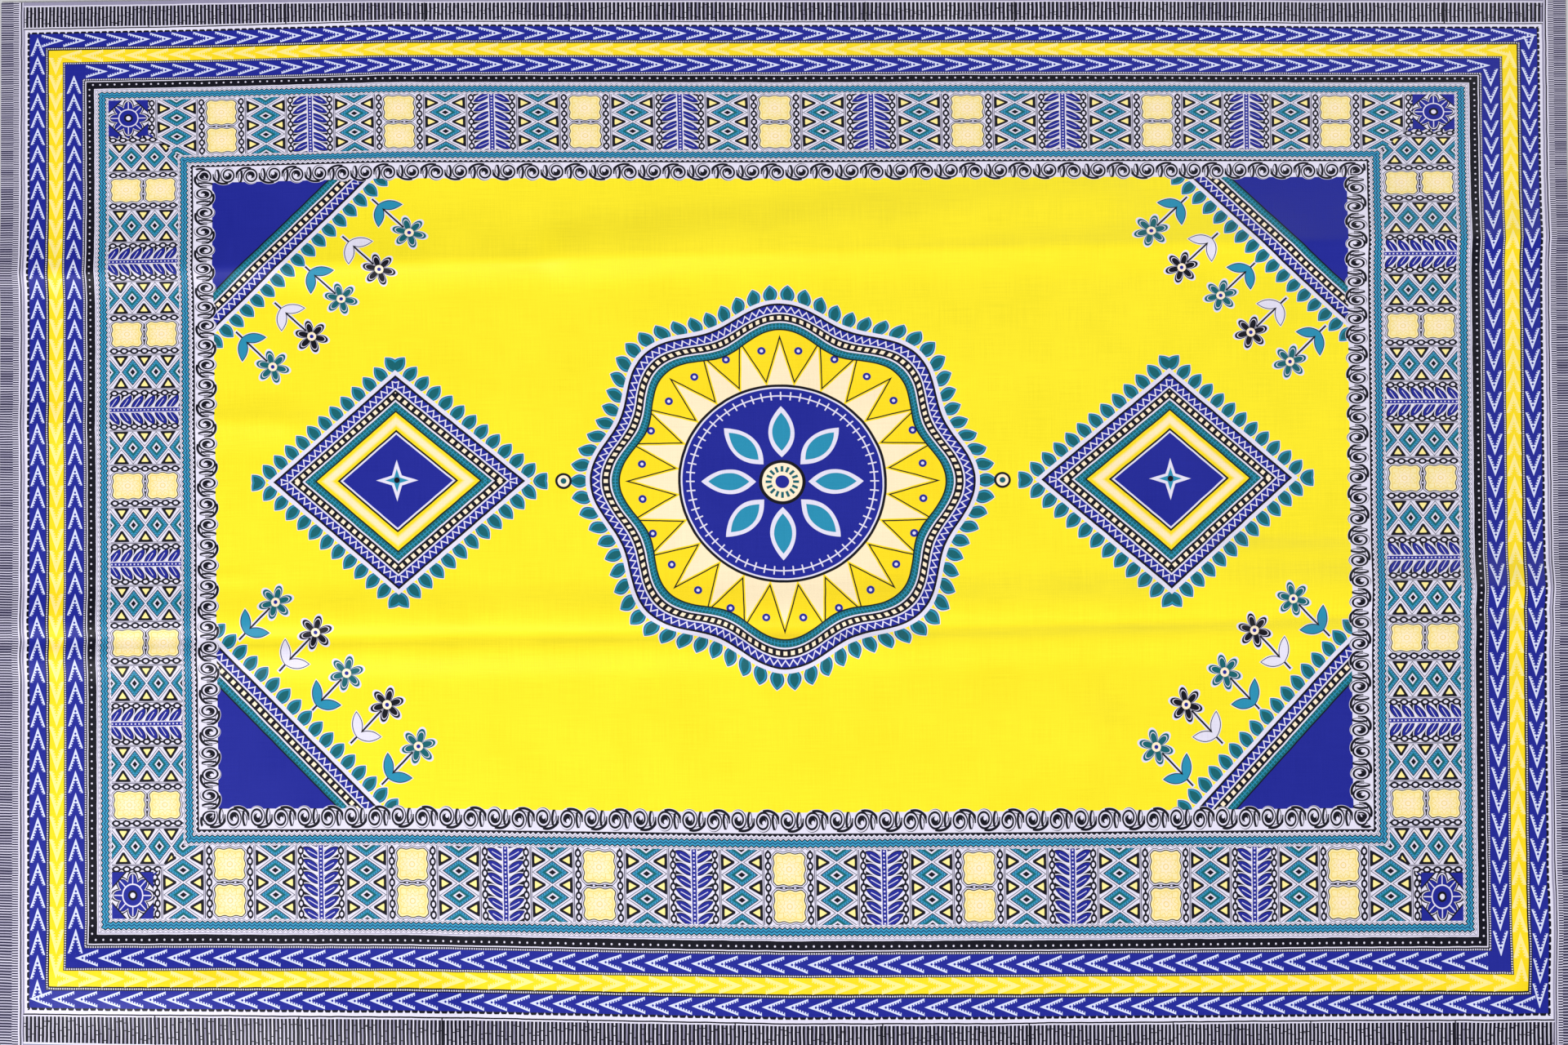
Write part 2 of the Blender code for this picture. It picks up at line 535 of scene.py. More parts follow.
def print_cotton(name, draw):
    """Adds the material of one zone: the inks that draw gives for a place, on the woven cotton."""
    material = bpy.data.materials.new(name)
    material.use_nodes = True
    tree = material.node_tree
    shader = tree.nodes["Principled BSDF"]
    source = tree.nodes.new("ShaderNodeUVMap")
    source.uv_map = "print_place"
    place = Amount(source.outputs[0])
    colour = draw(use_group(tree, WANDER, Place=place)["Moved"])
    cotton = use_group(tree, WEAVE, Place=place, Finish=FINISH_ROUGHNESS)
    tint = tree.nodes.new("ShaderNodeVectorMath")
    tint.operation = "SCALE"
    feed(tint.inputs[0], colour)
    feed(tint.inputs["Scale"], cotton["Shade"])
    feed(shader.inputs["Base Color"], Amount(tint.outputs[0]))
    feed(shader.inputs["Roughness"], cotton["Roughness"])
    bump = tree.nodes.new("ShaderNodeBump")
    bump.inputs["Strength"].default_value = 0.35
    bump.inputs["Distance"].default_value = THREAD_RELIEF
    feed(bump.inputs["Height"], cotton["Height"])
    feed(shader.inputs["Normal"], Amount(bump.outputs[0]))
    shader.inputs["Specular IOR Level"].default_value = FINISH_GLOSS
    cloth.data.materials.append(material)


# Outside the frame each end of the cloth is printed with upright bars like a fringe, and each
# selvedge with fine level bars. Both are flat colour on the cotton.

FRINGE_PITCH = 2.97
FRINGE_HALF_GAP = 0.49
SEAM_PITCH = 107.7
SEAM_AT = -41.3
SEAM_HALF = 10.0  # half its length
BARS_MIDDLE = 10.5
BARS_HALF = 9.1
TIE_START = 3.6
TIE_RANGE = 14.0
SELVEDGE_PITCH = 2.0
FINE_BAR_PITCH = 1.75
FRINGE_STRIPES = ((0.0, BLACK), (0.4, WHITE), (1.4, BLACK), (19.6, WHITE), (20.8, GREY))
SELVEDGE_STRIPES = ((0.0, GREY), (0.5, WHITE), (0.9, GREY), (1.4, BLACK), (2.2, WHITE), (3.2, GREY))


def draw_fringe(place, across, outside_end):
    """Black bars with white and grey gaps, short ties across them and a seam here and there."""
    bar = across / FRINGE_PITCH
    gap = abs(bar.maths("FRACT") - 0.5) * FRINGE_PITCH
    number = bar.maths("FLOOR")
    odd = number.maths("FLOORED_MODULO", 2.0)
    high_tie, low_tie, second = random_for(number)
    patches = noise_over(place, 1 / 70).maths("MULTIPLY_ADD", 4.0, -1.5, clamp=True)
    gap_ink = printed(WHITE, GREY, odd * (patches * 0.6 + 0.3) + second * 0.15)
    in_gap = inside(gap - FRINGE_HALF_GAP - odd * 0.08)
    past_bars = abs(outside_end - BARS_MIDDLE) - BARS_HALF
    fringe = striped(outside_end, CUT_MARGIN + 1, FRINGE_STRIPES)
    fringe = printed(fringe, gap_ink, in_gap * inside(past_bars))
    first_tie = abs(outside_end - TIE_START - high_tie * TIE_RANGE)
    second_tie = abs(outside_end - TIE_START - low_tie * TIE_RANGE)
    second_tie = second_tie + second.maths("GREATER_THAN", 0.45) * 9.0
    tie = most(least(first_tie, second_tie) - 0.3, past_bars)
    seam = folded(across - SEAM_AT, SEAM_PITCH) - 0.5
    seam = most(seam, abs(outside_end - SEAM_HALF) - SEAM_HALF)
    return inked(fringe, (BLACK, least(tie, seam)))


def draw_selvedge(up, outside_side):
    """A row of fine bars beside the frame, and coarser bars of uneven length outside it."""
    level = up / SELVEDGE_PITCH
    length, start, shade = random_for(level.maths("FLOOR"))
    off_bar = abs(level.maths("FRACT") - 0.5) * SELVEDGE_PITCH
    bar_start = start * 2.6 + 5.0
    outer = most(bar_start - outside_side, outside_side - 17.0 + length * 1.2)
    fine = folded(up, FINE_BAR_PITCH)
    inner = most(3.5 - outside_side, outside_side - 7.3)
    return inked(
        striped(outside_side, SELVEDGE_MARGIN + 1, SELVEDGE_STRIPES),
        (WHITE, most(0.6 - off_bar, outer), shade),
        (THIN_BLACK, most(off_bar - 0.48 - length * 0.16, outer)),
        (WHITE, most(0.45 - fine, inner)),
        (THIN_BLACK, most(fine - 0.48, inner)),
    )


def draw_ends(place):
    across, up = parts_of(place)
    outside_side = abs(across) - PRINT_HALF_WIDTH
    fringe = draw_fringe(place, across, abs(up) - PRINT_HALF_LENGTH)
    return printed(fringe, draw_selvedge(up, outside_side), inside(-outside_side, 0.05))


print_cotton("printed_ends", draw_ends)

# The outer border is two blue bands of white arrowheads that run clockwise, with a yellow band of
# pale chevrons running the other way between them, dotted black lines, and a teal rick-rack line.

BAND_STRIPES = (
    (0.0, BLACK), (0.4, WHITE), (4.2, BLUE), (16.7, BLACK), (19.5, BAND_YELLOW), (30.2, BLACK),
    (32.4, BLUE), (45.5, BLACK), (47.8, WHITE), (48.7, BLACK), (54.9, WHITE), (55.5, GREY),
    (56.1, WHITE),
)
SIDE_SQUEEZE = 0.034
FRAME_LINE = 2.7
FRAME_TOOTH_PITCH = 5.48
YELLOW_BAND_MIDDLE = 24.9
BAND_STEP = 14.2  # from there to the middle of each blue band
ARROW_LENGTH = 16.9
ARROW_SPREAD = 5.7
ARM_WIDTH = 1.15
CHEVRON_EXTRA = 1.1  # the arms of the pale chevrons are wider than those of the arrowheads
TOOTH_STEP = 1.93
TOOTH_DEPTH = 1.05
EYE_AT = 5.7
EYE_RIM = 1.6
EYE_HOLE = 0.85
FINE_DOT_ROWS = (18.0, 31.5, 46.5)
FINE_DOT_PITCH = 1.72
DOT_ROW = 51.3
DOT_PITCH = 5.67
DOT_RADIUS = 0.68
RICK_RACK_PITCH = 3.9
OUTER_RICK_RACK = 61.3
INNER_RICK_RACK = 124.3
RICK_RACK_STRIPES = (
    (0.0, WHITE), (0.8, BLACK), (1.2, WHITE), (2.0, BLACK), (2.9, TEAL), (3.5, LIGHT_TEAL),
    (4.3, DARK_TEAL), (5.5, LIGHT_TEAL), (6.2, TEAL), (6.8, BLACK), (7.7, WHITE), (8.5, BLACK),
    (8.9, WHITE),
)
RICK_RACK_MIDDLE = 5.0  # of the stripes

# The rows of arrowheads on the ends and the sides: what each is measured from and along, half the
# frame, the pitch of the heads, and how far the last one reaches past the corner
ARROW_ROWS = (
    ("From End", "End Run", PRINT_HALF_WIDTH, 17.0, 3.2),
    ("From Side", "Side Run", PRINT_HALF_LENGTH, 16.6, 0.0),
)
CORNER_REACH = 0.22  # outer rows reach further round a corner than inner ones, by this of their step


def build_border_run():
    """A place as the border sees it: how far inside the frame, and how far round it clockwise.

    Small repeats are a little closer together along the sides, which Even Run allows for.
    """
    group, (place,) = start_group("border_run", {"Place": "Vector"})
    across, up = parts_of(place)
    from_side = PRINT_HALF_WIDTH - abs(across)
    from_end = PRINT_HALF_LENGTH - abs(up)
    on_side = from_side.maths("LESS_THAN", from_end)
    end_run = across * up.maths("SIGN")
    side_run = -(up * across.maths("SIGN"))
    run = end_run + (side_run - end_run) * on_side
    return end_group(group, "Float", {
        "Inward": least(from_side, from_end),
        "Run": run,
        "Even Run": run * (on_side * SIDE_SQUEEZE + 1.0),
        "End Run": end_run,
        "Side Run": side_run,
        "Half Run": on_side * (PRINT_HALF_LENGTH - PRINT_HALF_WIDTH) + PRINT_HALF_WIDTH,
        "On Side": on_side,
        "From Side": from_side,
        "From End": from_end,
    })


def build_rick_rack():
    """A teal zigzag with a dark middle and black edges, and a thin zigzag to each side of it."""
    group, (off_middle, run) = start_group("rick_rack", {"Off Middle": "Float", "Run": "Float"})
    zigzag = (folded(run, RICK_RACK_PITCH) - RICK_RACK_PITCH / 4) * 0.75
    colour = striped(off_middle + RICK_RACK_MIDDLE + zigzag, RICK_RACK_MIDDLE * 2, RICK_RACK_STRIPES)
    return end_group(group, "Color", {"Colour": colour})


BORDER_RUN = build_border_run()
RICK_RACK = build_rick_rack()


def fitted(length, pitch):
    """The pitch nearest to the one given that fits a length a whole number of times."""
    return length / (length / pitch).maths("ROUND")


def arrowheads(from_edge, run, half_frame, wanted_pitch, lead):
    """Distance outside the nearest arrowhead, and 1 in the yellow band, whose heads run backwards.

    A head is two toothed arms that meet in a tip. Those in the blue bands have an eye behind it.
    """
    band = ((from_edge - YELLOW_BAND_MIDDLE) / BAND_STEP).maths("ROUND")
    backwards = 1.0 - abs(band)
    forward = 1.0 - backwards * 2.0
    corner = half_frame - YELLOW_BAND_MIDDLE - band * BAND_STEP
    reach_round = band * (-BAND_STEP * CORNER_REACH)
    length = (corner + reach_round) * 2.0 - lead
    from_start = run * forward + corner
    from_tip = corner * 2.0 + reach_round + forward * lead - from_start
    behind = from_tip.maths("FLOORED_MODULO", fitted(length, wanted_pitch))
    off_axis = abs(from_edge - YELLOW_BAND_MIDDLE - band * BAND_STEP)
    reach = behind * (ARROW_SPREAD / ARROW_LENGTH)
    tooth = (behind / TOOTH_STEP).maths("FRACT").maths("GREATER_THAN", 0.5)
    stroke = tooth * TOOTH_DEPTH + backwards * CHEVRON_EXTRA + ARM_WIDTH
    arm = most(off_axis - reach, reach - stroke - off_axis)
    from_eye = length_of(behind - EYE_AT, off_axis) + backwards * 3.0
    head = most(least(arm, from_eye - EYE_RIM), EYE_HOLE - from_eye)
    row_ends = most(INK_BLEED - from_tip, from_tip - length, 1.0 - from_start)
    return most(head, row_ends, abs(band) - 1.5), backwards


def draw_arrow_bands(place):
    border = use_group(place.tree, BORDER_RUN, Place=place)
    inward, run = border["Inward"], border["Even Run"]
    notch = most(1.1 - folded(run, FRAME_TOOTH_PITCH), 0.0) * 1.7
    colour = inked(
        striped(inward, ZONE_STARTS[1], BAND_STRIPES),
        (BLACK, abs(inward - FRAME_LINE - 0.9) - 0.9),
        (WHITE, most(inward - FRAME_LINE - notch, 0.6 - inward)),
        (GREY, inward - 0.9, border["On Side"]),
    )
    for edge, run_name, half_frame, pitch, lead in ARROW_ROWS:
        heads, in_yellow = arrowheads(border[edge], border[run_name], half_frame, pitch, lead)
        head_ink = printed(ARROW_WHITE, PALE_YELLOW, in_yellow)
        colour = inked(colour, (head_ink, heads, 1.0 - in_yellow * 0.1))

    rows = [abs(inward - row) for row in FINE_DOT_ROWS]
    fine_dot = most(least(*rows) - 0.52, folded(run, FINE_DOT_PITCH) - 0.45)
    dot = length_of(inward - DOT_ROW, folded(run, DOT_PITCH)) - DOT_RADIUS
    colour = inked(colour, (WHITE, fine_dot), (WHITE, dot))
    rick_rack = use_group(place.tree, RICK_RACK, Off_Middle=inward - OUTER_RICK_RACK, Run=run)
    return printed(colour, rick_rack["Colour"], inside(56.4 - inward, 0.05))


print_cotton("printed_arrow_bands", draw_arrow_bands)

# The block border repeats a pair of yellow quilted pillows, a column of teal diamonds and a column
# of blue leaves, parted by chains of pearls. A square block with a blue rosette turns each corner.

BLOCK_PITCH = 138.7
SIDE_BLOCK_PITCH = 120.0
SIDE_BLOCKS_LOWER = 0.9
BLOCKS_MIDDLE = 92.6
BLOCKS_HALF = 27.0
BLOCKS_BLACK_TO = 130.3
DIAMONDS_AT = 34.7
DIAMOND_HALF_WIDTH = 12.9
DIAMOND_PITCH = BLOCKS_HALF * 2 / 3
DIAMOND_SIDE = 7.38  # the distance from a diamond's middle to the middle of its lattice
DIAMOND_RINGS = (
    (7.0, BLACK), (6.3, LIGHT_TEAL), (5.2, TEAL), (4.4, DEEP_TEAL), (2.7, WHITE), (1.6, BLACK),
)
LATTICE_LINE = 8.3
TRIANGLE_POINT = 4.6
TRIANGLE_BASE = 14.5
COLUMN_EDGE = 15.7
PEARLS_AT = 19.3
PEARL_PITCH = BLOCKS_HALF * 2 / 7
PILLOW_AT = 13.3
PILLOW_HALF = 11.5
LEAF_MIDDLE = 6.6
LEAF_HALF_LENGTH = 6.8
LEAF_HALF_WIDTH = 2.9
LEAVES_TO = 13.6
STEM_DOT_PITCH = 2.86
CORNER_BLOCK = 96.9
CORNER_MIDDLE = 81.5


def pearl_chain(colour, off_middle, along, limit):
    """A chain of white pearls in thick black rings, drawn where the limit is negative."""
    from_pearl = folded(along, PEARL_PITCH)
    ring = (length_of(off_middle / 2.4, from_pearl / 3.3) - 1.0) * 2.7
    pearl = (length_of(off_middle / 1.1, from_pearl / 1.6) - 1.0) * 1.3
    link = abs(off_middle) - 0.7
    return inked(colour, (BLACK, most(least(ring, link), limit)), (WHITE, pearl))


def pillows(colour, across, up):
    """Two pillows, one above the other, with three lobes a side and a pale quilted flower."""
    height = abs(up) - PILLOW_AT
    wide, high = abs(across), abs(height)
    reach = (wide.maths("POWER", 6.0) + high.maths("POWER", 6.0)).maths("POWER", 1 / 6)
    outline = reach - PILLOW_HALF + 0.4 - (least(wide, high) * 0.72).maths("COSINE") * 0.5
    radius = length_of(across, height)
    turn = height.maths("ARCTAN2", across)
    flower = radius - 4.8 - (turn * 8.0).maths("COSINE") * 0.7
    body = printed(PILLOW_YELLOW, CREAM, inside(flower - 1.0, 8.0) * 0.9)
    petals = abs(radius - 7.8 - (turn * 12.0).maths("COSINE") * 1.2) - 0.45
    quilting = least(petals, abs(flower) - 0.3, abs(outline + 1.7) - 0.4, abs(radius - 1.9) - 0.4)
    body = printed(body, STRAW, inside(quilting, 0.5) * 0.7)
    dash = most(abs(up) - 0.5, wide - 9.5, 0.7 - folded(across + 4.0, 8.0))
    return inked(
        colour,
        (BLACK, outline - 2.0),
        (WHITE, outline - 1.5),
        (BLACK, least(outline - 0.7, dash)),
        (body, outline),
    )


def diamonds(colour, across, up):
    """A column of stitched teal diamonds in a white lattice, with a small triangle in each gap."""
    height = folded(up + DIAMOND_PITCH / 2, DIAMOND_PITCH)
    reach = (across / DIAMOND_HALF_WIDTH + height / (DIAMOND_PITCH / 2)) * DIAMOND_SIDE
    from_gap = DIAMOND_PITCH / 2 - height
    triangle = (from_gap - (across - TRIANGLE_POINT) * 0.56) * 0.87
    rounded = triangle.maths("SMOOTH_MAX", across - TRIANGLE_BASE, 1.6)
    outline = most(rounded, TRIANGLE_POINT + 0.9 - across)
    beyond = across - COLUMN_EDGE
    stitch = most(abs(reach - 5.6) - 0.4, folded(across, 1.7) - 0.4, beyond)
    return inked(
        colour,
        (WHITE, beyond),
        (BLACK, most(abs(reach - LATTICE_LINE) - 0.24, beyond), 0.9),
        (BLACK, outline - 0.4),
        (PALE_YELLOW, outline + 1.5),
        *((shade, most(reach - size, beyond)) for size, shade in DIAMOND_RINGS),
        (BLACK, stitch, 0.8),
    )


def leaf_column(colour, across, up):
    """Pairs of blue leaves on a dotted stem, each with a black thorn under it."""
    limit = across - LEAVES_TO
    height = wrapped(up - across * 0.55, DIAMOND_PITCH / 2)
    from_leaf = (across - LEAF_MIDDLE) / LEAF_HALF_LENGTH
    leaf = abs(height) - (1.0 - from_leaf * from_leaf) * LEAF_HALF_WIDTH
    thorn = abs(height - 3.4) - across * 0.11
    vein = most(abs(height) - 0.3, abs(across - 6.0) - 4.0)
    return inked(
        colour,
        (BLACK, most(least(leaf - 0.7, thorn), limit)),
        (WHITE, most(abs(leaf - 1.0) - 0.3, limit)),
        (BLUE, most(leaf, limit)),
        (WHITE, vein),
        (WHITE, across - 2.5),
        (BLUE, across - 1.7),
        (WHITE, most(folded(up, STEM_DOT_PITCH) - 0.55, across - 0.6)),
    )


def corner_block(across, up):
    """A square with a blue eight-petalled rosette and a blue leaf in each of its corners."""
    radius = length_of(across, up)
    turn = up.maths("ARCTAN2", across)
    petal = radius - 8.6 - abs((turn * 4.0).maths("COSINE")) * 5.2
    corner_leaf = 19.6 - abs(across) - abs(up)
    spoke = abs((turn * 4.0).maths("SINE")) * radius / 4
    return inked(
        WHITE,
        (BLACK, least(abs(petal - 2.2) - 0.75, corner_leaf)),
        (BLUE, corner_leaf + 1.4),
        (BLACK, petal - 0.6),
        (BLUE, petal),
        (WHITE, abs(radius - 7.4) - 0.45),
        (WHITE, most(spoke - 0.35, 7.4 - radius, petal)),
        (BLACK, radius - 3.4),
        (WHITE, radius - 1.8),
    )


def draw_blocks(place):
    border = use_group(place.tree, BORDER_RUN, Place=place)
    inward, run, on_side = border["Inward"], border["Even Run"], border["On Side"]
    up = inward - BLOCKS_MIDDLE
    _, height = parts_of(place)
    along_side = (height + SIDE_BLOCKS_LOWER) * (BLOCK_PITCH / SIDE_BLOCK_PITCH)
    along = border["End Run"] * (1.0 - on_side) + along_side * on_side
    from_pillow = folded(along, BLOCK_PITCH)
    off_diamonds = abs(from_pillow - DIAMONDS_AT)
    off_chain = off_diamonds - PEARLS_AT

    off_line = off_diamonds - COLUMN_EDGE - 0.6
    colour = inked(WHITE, (GREY, off_line), (BLACK, abs(off_line) - 0.22))
    colour = pillows(colour, from_pillow, up)
    colour = diamonds(colour, off_diamonds, up)
    colour = inked(colour, (BLACK, abs(off_diamonds - COLUMN_EDGE + 0.6) - 0.2))
    colour = leaf_column(colour, BLOCK_PITCH / 2 - from_pillow, up)
    chain_width = on_side * (SIDE_BLOCK_PITCH / BLOCK_PITCH - 1.0) + 1.0
    colour = pearl_chain(colour, off_chain * chain_width, up, abs(off_chain) - 2.9)

    # The corner square is a little taller than wide
    corner_up = (border["From End"] - ZONE_STARTS[1]) * 0.9 + ZONE_STARTS[1]
    corner = corner_block(border["From Side"] - CORNER_MIDDLE, corner_up - CORNER_MIDDLE)
    past_corner = most(border["From Side"], corner_up) - CORNER_BLOCK
    colour = printed(colour, corner, inside(past_corner, 0.1))
    colour = inked(colour, (BLACK, abs(past_corner) - 0.2))

    edges = use_group(place.tree, RICK_RACK, Off_Middle=inward - INNER_RICK_RACK, Run=run)
    colour = printed(colour, edges["Colour"], inside(BLOCKS_MIDDLE + BLOCKS_HALF - inward, 0.1))
    tooth = folded(run, RICK_RACK_PITCH) * 0.8
    return inked(colour, (BLACK, BLOCKS_BLACK_TO - inward - tooth))


print_cotton("printed_blocks", draw_blocks)

# The field is plain yellow with three medallions in a row, a blue triangle in each corner and
# sprigs of daisies. Its edges share one trim: teal leaves, white teeth on blue and square beads.

FIELD_HALF_WIDTH = PRINT_HALF_WIDTH - 147.5
FIELD_HALF_LENGTH = PRINT_HALF_LENGTH - 147.5
ROSETTE_RADIUS = 134.0
ROSETTE_LOBE = 6.5
ROSETTE_LEAVES = 74
DISC_RADIUS = 76.0
RAY_PITCH = math.pi / 12
SIDE_MEDALLION_AT = 284.0
SIDE_HALF_WIDTH = 95.6
SIDE_HALF_LENGTH = 82.8
CORNER_DEPTH = 84.0
SPRIG_PITCH = 38.0
SPRIGS_HALF = SPRIG_PITCH * 2.5
DAISY_HEIGHT = 40.0
LINK_AT = 160.0
TRIM_PITCH = 11.5
TRIM_DEPTH = 21.0
TRIM_START = -3.0
TRIM_STRIPES = (
    (0.0, WHITE), (3.0, BLACK), (4.6, BLUE), (10.6, WHITE), (11.8, BLACK), (17.8, WHITE),
    (19.0, DEEP_TEAL), (24.2, BLACK),
)


def build_trim():
    """The trim round every motif of the field, from its leaves outside to the line inside.

    Inward is the distance inside the motif's outline, and Along the distance round it.
    """
    sockets = {"Ground": "Color", "Inward": "Float", "Along": "Float"}
    group, (ground, inward, along) = start_group("field_trim", sockets)
    from_leaf = (inward + 7.4) / 7.6
    leaf = folded(along, TRIM_PITCH) - (1.0 - from_leaf * from_leaf) * 4.2
    outside_trim = TRIM_START - inward
    colour = inked(
        ground,
        (WHITE, least(leaf - 1.3, outside_trim)),
        (BLACK, leaf - 0.5),
        (TEAL, leaf),
        (DEEP_TEAL, leaf + 1.3),
    )
    tooth = (folded(along, TRIM_PITCH / 2) - TRIM_PITCH / 8) * 1.5
    bead = most(abs(inward - 11.8) - 1.5, folded(along, TRIM_PITCH / 2) - 1.5)
    off_spine = abs(inward - 18.6)
    rung = most(off_spine - 1.9, folded(along, TRIM_PITCH / 4) - 0.35)
    stripes = inked(
        striped(inward - TRIM_START, TRIM_DEPTH + 4.5, TRIM_STRIPES),
        (WHITE, abs(inward - 4.6 + tooth) - 0.8),
        (CREAM, bead),
        (TEAL, least(rung, off_spine - 0.35)),
    )
    colour = printed(colour, stripes, inside(outside_trim, 0.2))
    return end_group(group, "Color", {"Colour": colour})


TRIM = build_trim()


def rosette_middle(radius, turn):
    """Inside the round medallion: a sunburst of pale rays round a blue disc with a white flower."""
    past_disc = radius - DISC_RADIUS
    ray_height = past_disc / (ROSETTE_RADIUS - TRIM_DEPTH - DISC_RADIUS)
    point = (1.0 - ray_height) * 11.0 - folded(turn, RAY_PITCH) * radius
    bead = length_of(past_disc - 27.0, folded(turn + RAY_PITCH / 2, RAY_PITCH) * radius)
    ring = abs(past_disc + 9.0)
    tick = most(ring - 3.2, folded(turn, RAY_PITCH / 2.5) * radius - 0.5)
    colour = inked(
        BAND_YELLOW,
        (CREAM, 1.6 - point, 0.9),
        (BLACK, abs(point) - 0.5),
        (BLUE, bead - 3.0),
        (WHITE, bead - 1.2),
        (BLACK, past_disc),
        (WHITE, past_disc + 2.0),
        (BLUE, past_disc + 3.2),
        (WHITE, least(tick, ring - 0.5)),
    )
    for half_length, half_width, shade in ((20.0, 9.5, WHITE), (15.0, 6.6, TEAL)):
        from_petal = (radius - 39.0) / half_length
        swell = (1.0 - from_petal * from_petal) * half_width
        colour = inked(colour, (shade, folded(turn, math.pi / 4) * radius - swell))
    seeds = most(folded(turn, math.pi / 8) * radius - 1.0, abs(radius - 10.0) - 2.2)
    return inked(
        colour, (BLACK, radius - 17.0), (CREAM, radius - 14.6), (DEEP_TEAL, seeds), (BLUE, radius - 5.0)
    )


def diamond_middle(across, up, inward):
    """Inside each side medallion: a yellow band with a zigzag round a blue diamond and its star."""
    colour = printed(BAND_YELLOW, CREAM, inside(abs(inward - 27.5) - 2.4, 2.0) * 0.8)
    blue = 34.0 - inward
    star = least(across * 3.2 + up, across + up * 3.2) - 16.0
    return inked(
        colour,
        (BLACK, blue - 1.4),
        (WHITE, blue),
        (BLUE, blue + 1.3),
        (WHITE, star / 3.0),
        (TEAL, (star + 7.0) / 3.0),
        (BLACK, length_of(across, up) - 2.2),
    )


def daisies(colour, outward, along):
    """Sprigs in a row beyond a corner: a daisy on a stem with two leaves, teal and black in turn."""
    cell = along / SPRIG_PITCH
    across = abs(wrapped(along, SPRIG_PITCH))
    odd = cell.maths("ROUND").maths("FLOORED_MODULO", 2.0)
    height = outward - 14.0 - odd * 5.0
    beyond = abs(along) - SPRIGS_HALF
    stem = most(across - 0.7, abs(height - 17.0) - 17.0, beyond)
    tilted = across * 0.74 + height * 0.67 - 13.0
    aside = across * 0.67 - height * 0.74 + 6.0
    leaf = abs(aside) - (1.0 - tilted * tilted / 90.0) * 3.4
    above_stem = height - DAISY_HEIGHT
    radius = length_of(across, above_stem)
    turn = above_stem.maths("ARCTAN2", across)
    petals = radius - 4.5 - abs((turn * 3.0).maths("COSINE")) * 8.5
    layers = (
        (WHITE, least(petals - 1.6, leaf - 1.3, stem - 1.0)),
        (BLACK, least(leaf - 0.6, stem)),
        (printed(TEAL, WHITE, odd), leaf),
        (printed(DEEP_TEAL, BLACK, odd), petals),
        (WHITE, abs(petals + 2.2) - 0.35),
        (CREAM, radius - 3.4),
        (BLUE, radius - 1.5),
    )
    return inked(colour, *((shade, most(outline, beyond)) for shade, outline in layers))


def beside_and_corner(across, up):
    """For the side medallion and the corner: how far inside each a place is, and how far along."""
    beside = abs(across - SIDE_MEDALLION_AT)
    edge = math.hypot(SIDE_HALF_WIDTH, SIDE_HALF_LENGTH)
    depth = SIDE_HALF_WIDTH * SIDE_HALF_LENGTH / edge
    side_in = depth - beside * (SIDE_HALF_LENGTH / edge) - up * (SIDE_HALF_WIDTH / edge)
    side_along = beside * (SIDE_HALF_WIDTH / edge) - up * (SIDE_HALF_LENGTH / edge)
    from_side, from_end = FIELD_HALF_WIDTH - across, FIELD_HALF_LENGTH - up
    corner_in = CORNER_DEPTH - (from_side + from_end) * math.sqrt(0.5)
    corner_along = (from_side - from_end) * math.sqrt(0.5)
    return beside, side_in, side_along, corner_in, corner_along


def build_field():
    group, (place,) = start_group("field_print", {"Place": "Vector"})
    across, up = (abs(part) for part in parts_of(place))
    radius = length_of(across, up)
    turn = up.maths("ARCTAN2", across)
    round_in = ROSETTE_RADIUS - radius + (turn * 8.0).maths("COSINE") * ROSETTE_LOBE
    round_along = turn * (ROSETTE_LEAVES * TRIM_PITCH / (2 * math.pi))
    beside, side_in, side_along, corner_in, corner_along = beside_and_corner(across, up)

    inward = most(round_in, side_in, corner_in)
    is_side = side_in.maths("GREATER_THAN", most(round_in, corner_in))
    is_corner = corner_in.maths("GREATER_THAN", most(round_in, side_in))
    along = round_along + (side_along - round_along) * is_side
    along = along + (corner_along - along) * is_corner

    colour = daisies(YELLOW, -corner_in, corner_along)
    trim = use_group(group, TRIM, Ground=colour, Inward=inward, Along=along)
    middle = rosette_middle(radius, turn)
    middle = printed(middle, diamond_middle(beside, up, side_in), is_side)
    middle = printed(middle, BLUE, is_corner)
    link = length_of(across - LINK_AT, up)
    colour = inked(
        trim["Colour"],
        (middle, TRIM_DEPTH + 1.2 - inward),
        (BLACK, link - 6.2),
        (CREAM, link - 4.4),
        (DEEP_TEAL, link - 2.2),
    )
    return end_group(group, "Color", {"Colour": colour})


FIELD = build_field()


def draw_field(place):
    return use_group(place.tree, FIELD, Place=place)["Colour"]


# A running scroll in black and white divides the border from the field. Its curls stand in a row
# and turn alternately up and down, and their round backs cut scallops into the field.

SCROLL_MIDDLE = 139.9
SCROLL_PITCH = 17.9
SIDE_SCROLL_PITCH = 15.8
SCROLL_START = 2.4
CURL_AT = -2.9
CURL_HALF_WIDTH = 5.3
CURL_HALF_HEIGHT = 6.5
CURL_SIZE = 6.0  # turns shares of the curl's own size into millimetres
SPIRAL_STEP = 0.42


def oval(across, up, half_width, half_height):
    """Distance outside an oval round the place where both are 0, true close to its outline."""
    return (length_of(across / half_width, up / half_height) - 1.0) * ((half_width + half_height) / 2)


